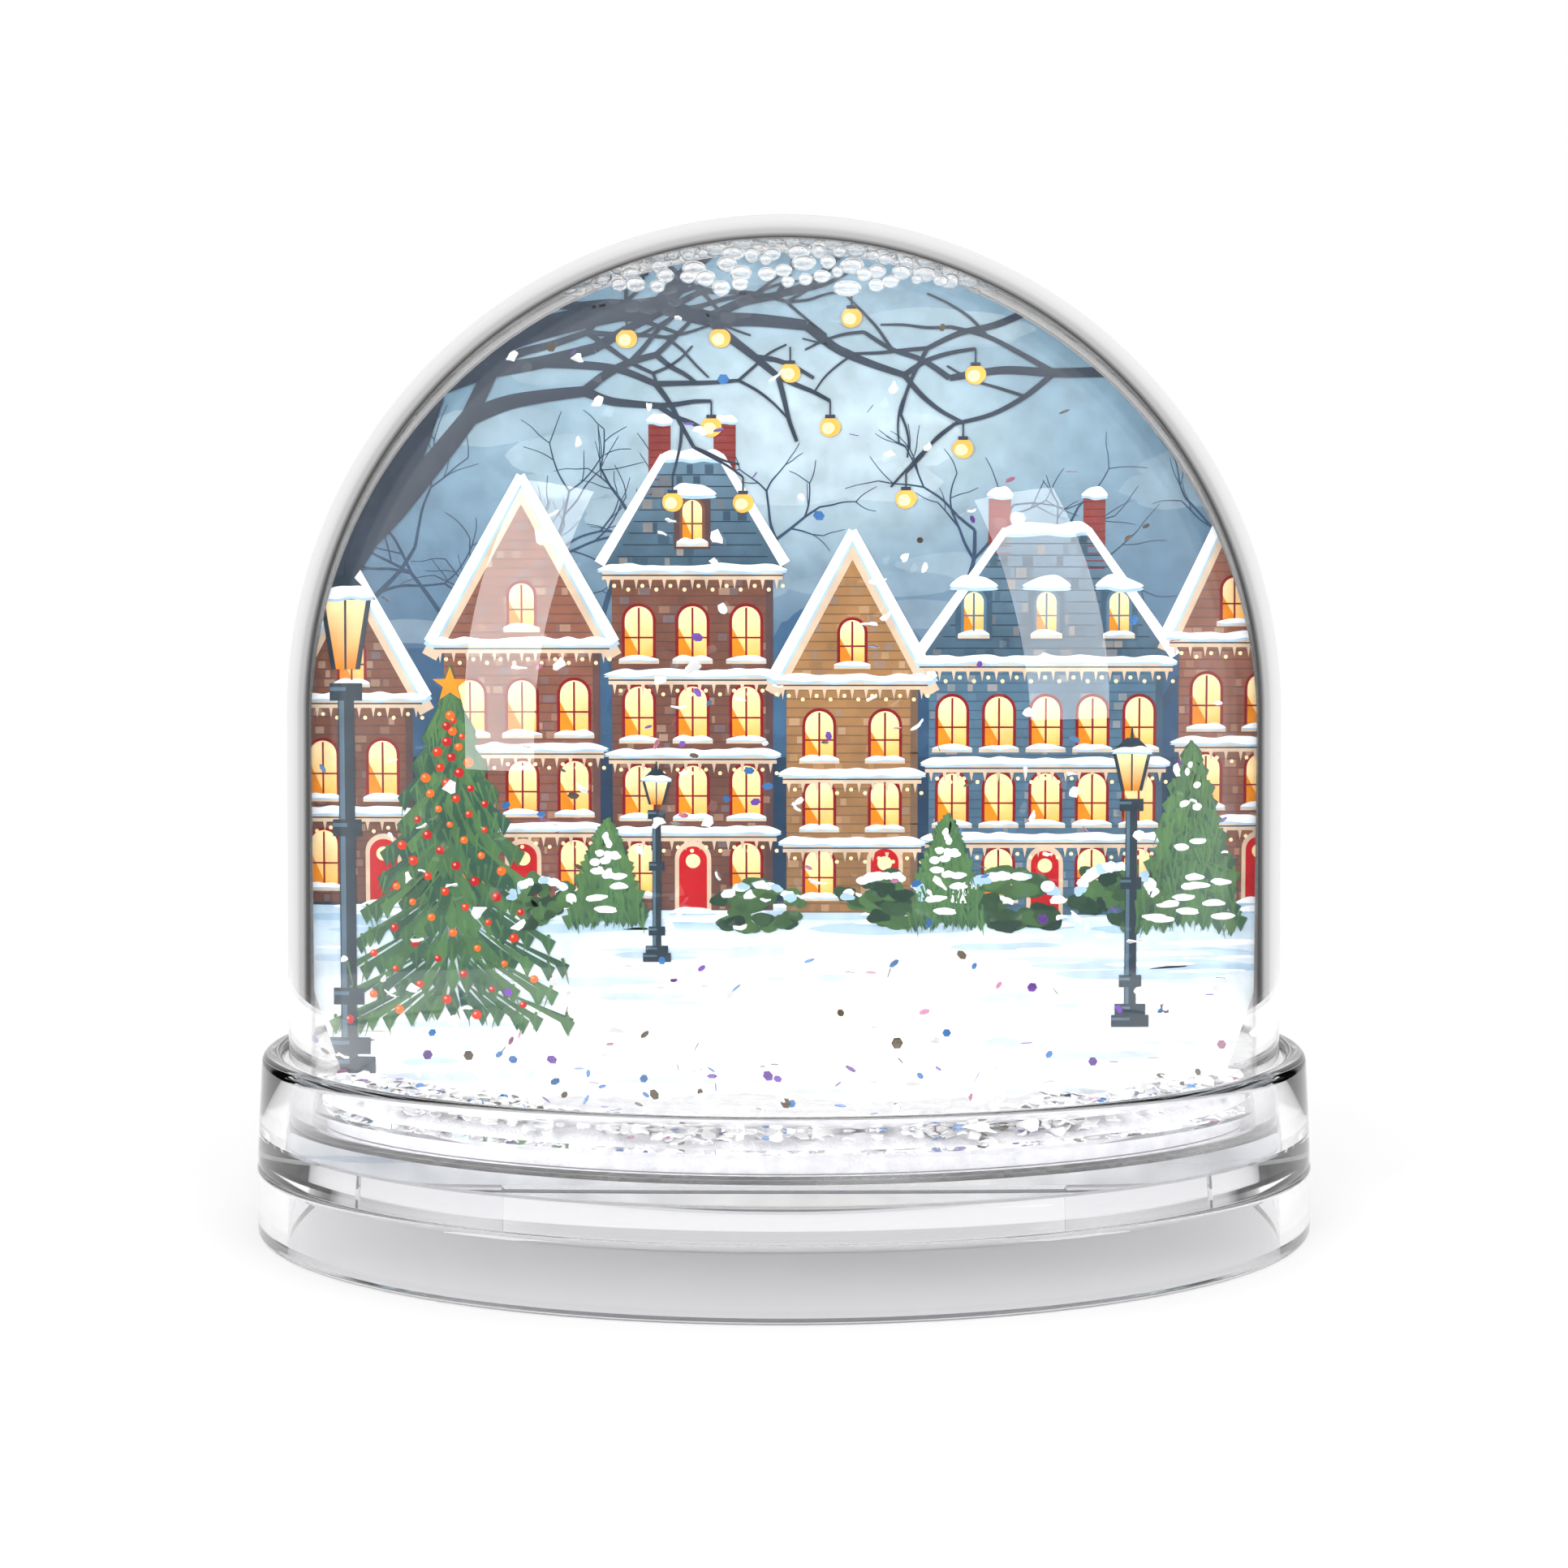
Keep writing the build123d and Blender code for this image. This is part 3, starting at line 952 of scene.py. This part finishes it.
def house(art, x, base, half, eaves, ridge, wall_ink, gabled, bays, storeys, layer):
    """House front with lit windows, a door and either a gable or a roof along the street."""
    dark = blend(wall_ink, SHADOW, 0.55)
    roof_layer = layer + 2
    lean = half * (0.0 if gabled else 0.35)
    art.rect(x - half, base, x + half, eaves,
             lambda a, b: blend(wall_ink, dark, 0.5 * (eaves - b) / (eaves - base)), layer)
    courses(art, lambda z: (x - half, x + half), base, eaves, wall_ink, dark, layer + 1)
    art.rect(x + half - 0.6, base, x + half, eaves, dark, layer + 1)
    slope = (ridge - eaves) / (half - lean)
    if gabled:
        art.shape([(x - half, eaves), (x + half, eaves), (x, ridge)], wall_ink, roof_layer)
        courses(art, lambda z: (x - (ridge - z) / slope, x + (ridge - z) / slope), eaves, ridge - 1,
                wall_ink, dark, roof_layer + 1)
        for side in (-1, 1):
            foot = (x + side * (half + 1.2), eaves - 1.2)
            for rise, first, last, tone, over in ((0, 1.3, 1.1, TRIM, 3), (0.8, 1.0, 0.7, SNOW_SHADE, 4),
                                                  (1.2, 0.9, 0.7, SNOW, 5)):
                art.stroke([(foot[0], foot[1] + rise), (x, ridge + 0.9 + rise)], first, last, tone,
                           roof_layer + over)
        lit_window(art, x, eaves + 1.4, 1.0, 2.4, RED_DARK, roof_layer + 2)
    else:
        outline = [(x - half - 1, eaves), (x + half + 1, eaves), (x + lean, ridge), (x - lean, ridge)]
        art.shape(outline, lambda a, b: blend(SLATE_LIGHT, SLATE, (ridge - b) / (ridge - eaves)), roof_layer)
        courses(art, lambda z: (x - lean - (ridge - z) / slope, x + lean + (ridge - z) / slope),
                eaves, ridge, SLATE, SHADOW, roof_layer + 1, 0.95)
        art.snow(x - lean - 0.5, x + lean + 0.5, ridge, 0.9, roof_layer + 4, int(x))
        for side in (-1, 1):
            art.stroke([(x + side * (half + 1), eaves + 0.4), (x + side * lean, ridge + 0.2)],
                       0.9, 0.6, SNOW, roof_layer + 5)
            stack = x + side * lean * 1.15
            art.rect(stack - 0.9, ridge - 3, stack + 0.9, ridge + 3, ink("7c3f3c"), layer + 1)
            courses(art, lambda z: (stack - 0.9, stack + 0.9), ridge - 3, ridge + 3, ink("7c3f3c"), RED_DARK,
                    layer + 2, 0.6)
            art.snow(stack - 1.1, stack + 1.1, ridge + 3, 0.7, layer + 3, int(stack))
        for i in range(max(1, bays - 2)):
            place = x + (i - (bays - 3) / 2) * half * 0.62
            art.rect(place - 1.5, eaves + 1.6, place + 1.5, eaves + 6.2, dark, roof_layer + 3)
            lit_window(art, place, eaves + 2.4, 0.8, 2.4, wall_ink, roof_layer + 4)
            art.snow(place - 2, place + 2, eaves + 6.1, 0.9, roof_layer + 6, i)
    eaves_board(art, x - half - 0.8, x + half + 0.8, eaves - 0.9, layer + 8)
    pitch = (eaves - 2.2 - base) / storeys
    for storey in range(storeys):
        low = base + 1.6 + pitch * storey
        for bay in range(bays):
            place = x + (bay - (bays - 1) / 2) * 2 * half / bays
            if storey == 0 and bay == bays // 2:
                art.arch(place - 1.5, base, place + 1.5, base + 4.4, TRIM, layer + 4)
                art.arch(place - 1.15, base, place + 1.15, base + 4.3, RED, layer + 5)
                art.blob(place, base + 4.2, 0.6, 0.6, AMBER_LIGHT, layer + 6, 0, 0)
                for step in range(2):
                    art.snow(place - 2 - step * 0.5, place + 2 + step * 0.5, base - 0.2 - 0.7 * step, 0.5,
                             layer + 6, step)
            else:
                lit_window(art, place, low, min(1.15, half / bays - 0.75), pitch * 0.45, RED_DARK, layer + 3)
        if storey:
            eaves_board(art, x - half - 0.3, x + half + 0.3, low - 2.3, layer + 5)


def paint_houses(material):
    art = Painting("picture_houses")
    brown, umber, blue, ochre = ink("84594b"), ink("6f4a3d"), ink("506d82"), ink("9a7550")
    for row in ((-35.5, 27.6, 5.0, 45.0, 54.0, umber, True, 2, 2, 6),
                (37.0, 27.8, 4.6, 50.0, 60.0, brown, True, 2, 3, 6),
                (-7.5, 27.0, 6.6, 55.5, 64.5, umber, False, 3, 4, 6),
                (-21.5, 27.2, 6.4, 49.5, 61.0, brown, True, 3, 3, 7),
                (5.6, 26.8, 5.4, 46.5, 56.5, ochre, True, 2, 3, 7),
                (21.5, 26.6, 9.6, 48.0, 58.5, blue, False, 5, 3, 6)):
        house(art, *row)
    return art.finish(material)


# --- Picture: trees, lamps and bushes -----------------------------------------
def branch(art, x, z, angle, length, width, depth, rng, layer, tone, lamps):
    """Branch that bends, thins and forks; a few of the twigs carry a lamp."""
    points = [(x, z)]
    for _ in range(3):
        angle += rng.uniform(-0.26, 0.26)
        x += length / 3 * math.cos(angle)
        z += length / 3 * math.sin(angle)
        points.append((x, z))
    art.stroke(points, width, width * 0.6, tone, layer)
    if depth == 0:
        apart = all(math.hypot(x - a, z - b) > 4.5 for a, b in lamps)
        if lamps and z > 60 and apart and on_card((x, z + 2)):
            lamps.append((x, z))
        return
    for i in range(rng.choice((2, 3))):
        origin = points[rng.choice((1, 2, 3))] if i else points[3]
        turn = rng.uniform(0.3, 0.8) * (1 if (i + depth) % 2 else -1)
        branch(art, *origin, angle + turn, length * rng.uniform(0.6, 0.8), width * 0.58, depth - 1,
               rng, layer, tone, lamps)


def paint_trees(material):
    art = Painting("picture_trees")
    rng = random.Random(12)
    for x in (-34, -27, -13, -2, 12, 30, 36):
        branch(art, x, 42, math.pi / 2 + rng.uniform(-0.2, 0.2), 10, 0.8, 4, rng, 4, ink("34495f"), [])
    rng = random.Random(343)
    lamps = [(0.5, 73.5)]
    for x, z, angle, length, width, forks in ((-42, 50, 1.0, 25, 4.2, 4), (-29, 70, 0.25, 14, 1.4, 3),
                                              (41, 63, 2.7, 17, 1.5, 3), (33, 72, 2.9, 14, 1.1, 3)):
        branch(art, x, z, angle, length, width, forks, rng, 19, BARK, lamps)
    for x, z in lamps[:12]:
        art.stroke([(x, z), (x, z - 1.2)], 0.14, 0.14, BARK, 20)
        art.rect(x - 0.4, z - 1.4, x + 0.4, z - 1.1, BARK, 22)
        art.blob(x, z - 2.1, 0.85, 0.8, AMBER, 21, int(x * 9), 0.08)
        art.blob(x - 0.15, z - 2.2, 0.5, 0.48, AMBER_LIGHT, 22, int(z), 0.1)
    return art.finish(material)


def fir_tree(art, x, base, top, half, layer, seed, baubles):
    """Fir with drooping tiers, and either baubles with a star or patches of snow."""
    rng = random.Random(seed)
    tiers = 12
    for tier in range(tiers):
        share = tier / (tiers - 1)
        z = base + (top - base) * share * 0.96
        reach = half * (1 - share) ** 0.85 + 0.4
        drop = (top - base) / tiers * 1.35
        for i in range(17):
            across = -1 + i / 8
            tip_x = x + across * reach * rng.uniform(0.88, 1.1)
            tip_z = z + drop * (0.35 - abs(across) * 0.45) + rng.uniform(-0.3, 0.3)
            tone = blend(FIR, FIR_LIGHT, rng.random() ** 1.5 * (0.6 + 0.4 * share))
            root = (x + across * reach * 0.3, z + drop * 1.2)
            art.shape([root, (tip_x + 0.6, tip_z + 0.6), (tip_x, tip_z - 0.6), (tip_x - 0.6, tip_z + 0.6)],
                      tone, layer + tier % 2)
            needle = (tip_x + rng.uniform(-0.7, 0.7), tip_z - rng.uniform(0.4, 1.1))
            art.stroke([(tip_x, tip_z + 1.2), needle], 0.25, 0.04, blend(tone, FIR_LIGHT, 0.5), layer + 2)
    for i in range(60 if baubles else 18):
        share = (i + 0.5) / 60 if baubles else rng.random()
        reach = half * (1 - share) ** 0.85 * 0.92
        place = (x + reach * (2 * ((i * 0.618) % 1) - 1), base + 0.4 + (top - base) * share * 0.94)
        if baubles:
            size = rng.uniform(0.26, 0.42)
            art.blob(*place, size, size, (RED, ink("c8402f"), ink("de6a2c"))[i % 3], layer + 3, 0, 0, 12)
            glint = (place[0] - size * 0.3, place[1] + size * 0.3)
            art.blob(*glint, 0.12, 0.12, ink("f2a58c"), layer + 4, 0, 0, 6)
        else:
            art.blob(*place, 0.9 * (1.2 - share), 0.3, SNOW, layer + 3, i, 0.4, 12)
    if baubles:
        points = [(1.5 if i % 2 == 0 else 0.6, math.pi * (0.5 + i / 5)) for i in range(10)]
        star = [(x + r * math.cos(a), top + 1 + r * math.sin(a)) for r, a in points]
        art.shape(star, ink("e8954a"), layer + 4)


def street_lamp(art, x, base, height, size, layer):
    """Iron post with rings and a lit lantern under a snowy cap."""
    post = height * 0.76
    art.rect(x - size * 0.42, base, x + size * 0.42, base + post, IRON, layer)
    art.rect(x - size * 0.36, base, x - size * 0.1, base + post, IRON_LIGHT, layer + 1)
    for share, wide in ((0.0, 1.35), (0.05, 1.1), (0.18, 0.8), (0.62, 0.75), (0.97, 0.85)):
        low = base + post * share
        art.rect(x - size * wide, low, x + size * wide, low + 0.9 * size, IRON, layer + 1)
        art.rect(x - size * wide, low + 0.5 * size, x, low + 0.7 * size, IRON_LIGHT, layer + 2)
    low, high = base + post + size, base + height * 0.93
    for grow, tone, over in ((0.25, IRON, 1), (0.0, None, 2)):
        glow = tone or (lambda a, b: blend(AMBER_DEEP, AMBER_LIGHT, (b - low) / (high - low)))
        foot, head = size * (0.5 + grow), size * (1.1 + grow)
        art.shape([(x - foot, low), (x + foot, low), (x + head, high), (x - head, high)], glow, layer + over)
    art.stroke([(x, low), (x, high)], 0.12 * size, 0.12 * size, IRON, layer + 3)
    art.shape([(x - size * 1.6, high), (x + size * 1.6, high), (x + size * 0.4, high + size * 1.2),
               (x - size * 0.4, high + size * 1.2)], IRON, layer + 2)
    art.snow(x - size * 1.5, x + size * 1.5, high + 0.2 * size, size * 0.5, layer + 3, int(x))
    art.stroke([(x, high + size), (x, high + size * 2)], 0.3 * size, 0.1, IRON, layer + 3)


def bush(art, x, z, half_x, half_z, layer, seed):
    """Rounded bush of leaf patches with snow on its upper side."""
    rng = random.Random(seed)
    leaves = 30
    for i in range(48):
        if i < leaves:
            angle, reach, size, rise = rng.uniform(0, 6.3), math.sqrt(rng.random()), 0.25, i % 2
            tone = blend(ink("1e352f"), FIR_LIGHT, rng.random() * 0.7)
        else:
            angle, reach, size, rise = rng.uniform(0.1, 3.04), 0.9, 0.15, 2
            tone = (SNOW_SHADE, SNOW, SNOW)[i % 3]
        art.blob(x + half_x * reach * math.cos(angle), z + half_z * reach * math.sin(angle),
                 half_x * size, half_z * size, tone, layer + rise, seed + i, 0.5, 16)


def paint_foreground(material):
    art = Painting("picture_foreground")
    for x, base, top, half in ((-14.6, 26.2, 33.6, 2.6), (33.5, 25.6, 40.0, 4.0), (13.4, 26.0, 34.0, 2.6)):
        fir_tree(art, x, base, top, half, 18, int(base * 3), False)
    for x, z, half_x, half_z in ((-2.2, 27.2, 3.4, 2.2), (8.4, 27.8, 3.6, 2.4), (18.5, 27.6, 4.6, 2.6),
                                 (27.4, 28.2, 3.4, 2.8), (-20, 27.6, 2.8, 2.2)):
        bush(art, x, z, half_x, half_z, 18, int(z * 10 + x))
    street_lamp(art, -10.5, 22.6, 16.5, 0.85, 19)
    street_lamp(art, 28.6, 17.0, 25.0, 1.15, 20)
    fir_tree(art, -27.4, 17.0, 45.0, 9.4, 18, 17, True)
    street_lamp(art, -36.0, 13.0, 43.0, 1.6, 20)
    return art.finish(material)


# --- Assembly -----------------------------------------------------------------
set_camera()
set_world()
set_render_look()
build_stage()
softbox("softbox_left", (-0.67, -0.50, 0.315), 0.26, 0.68, 4.2)
softbox("softbox_right", (0.68, -0.50, 0.325), 0.30, 0.62, 3.7)
softbox("front_fill", (0.0, -1.0, 0.75), 1.2, 0.9, 2.4, False)

clear_base = clear_material("clear_base", 1.49, (0.993, 0.993, 0.994), (0.0, 0.02), (0.93, 0.93, 0.94))
clear_dome = clear_material("clear_dome", 1.49, (0.99, 0.99, 0.99), (0.0, 0.01))
liquid = clear_material("liquid", 1.05, (0.99, 0.99, 0.99), (0.0, 0.01))
for name, build, material, slot in (("bottom_cover", build_cover, clear_base, "clear_base"),
                                    ("collar", build_collar, clear_base, "clear_base"),
                                    ("chamber_floor", build_floor, clear_base, "clear_base"),
                                    ("dome", build_dome, clear_dome, "clear_dome"),
                                    ("pocket_sleeve", build_sleeve, clear_dome, "clear_dome"),
                                    ("water", build_water, liquid, "water")):
    piece = build(material)
    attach(piece, "cover" if name == "bottom_cover" else "globe")
    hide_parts(name)

bubbles = build_bubbles(clear_material("air", 0.8, (0.97, 0.97, 0.97), clarity=0.86))
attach(bubbles, "globe")

snow_material = mottled_material("snow_plastic", (0.99, 0.99, 0.99), (0.92, 0.92, 0.93), 500, 0.45, 0.2, 0.2)
# The settled snow's darker tone is partly painted shade: it stands for the shaded gaps between flakes,
# scattered at random by the noise.
bed_material = mottled_material("settled_snow", (0.92, 0.92, 0.94), (0.74, 0.74, 0.78), 900, 0.6, 0.6,
                                lamp_tint=(0.84, 0.84, 0.85))
for name, side in (("snow_bed_front", -1), ("snow_bed_back", 1)):
    piece = build_bed(name, side, bed_material)
    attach(piece, "globe")
    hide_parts("snow_bed")

# Drifting and settled plates of each kind. Glitter: foil tone, film thickness, how many, seed.
plates = [("snow_flakes", "snow", snow_material, 300, 2400, 41, (0.3, 0.72), 0.12, 8, 0.45)]
for colour, tone, film, drifting, settled, seed in (("violet", (0.30, 0.14, 0.62), 420, 60, 150, 42),
                                                    ("blue", (0.10, 0.30, 0.70), 330, 55, 130, 43),
                                                    ("bronze", (0.22, 0.17, 0.12), 260, 60, 150, 44),
                                                    ("rose", (0.75, 0.30, 0.50), 500, 35, 90, 45)):
    foil = foil_material("foil_" + colour, tone, film)
    node = "glitter_" + colour
    plates.append((node, node, foil, drifting, settled, seed, (0.28, 0.5), 0.05, 6, 0.0))
for node, slot, *shape in plates:
    piece = build_plates(node + "_detail", *shape)
    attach(piece, "globe")
    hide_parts(node)

paint = ink_material()
for build in (paint_sky, paint_snowfield, paint_houses, paint_trees, paint_foreground):
    piece = build(paint)
    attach(piece, "picture")
    back = bpy.data.objects.new(piece.name + "_back", piece.data)
    bpy.context.scene.collection.objects.link(back)
    back.rotation_euler = (0, 0, math.pi)
    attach(back, "picture")

sheet = mottled_material("photo_paper", ink("4c6a86"), ink("3d5873"), 300, 0.4, 0.1, 0.3)
board = mottled_material("white_board", (0.88, 0.88, 0.86), (0.82, 0.82, 0.80), 350, 0.7, 0.3)
rubber = clear_material("soft_clear", 1.45, (0.9, 0.9, 0.9), (0.12, 0.3))
for name, material in (("front_print", sheet), ("back_print", sheet), ("card_core", board),
                       ("dome_seal", rubber)):
    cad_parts[name].data.materials[0] = material
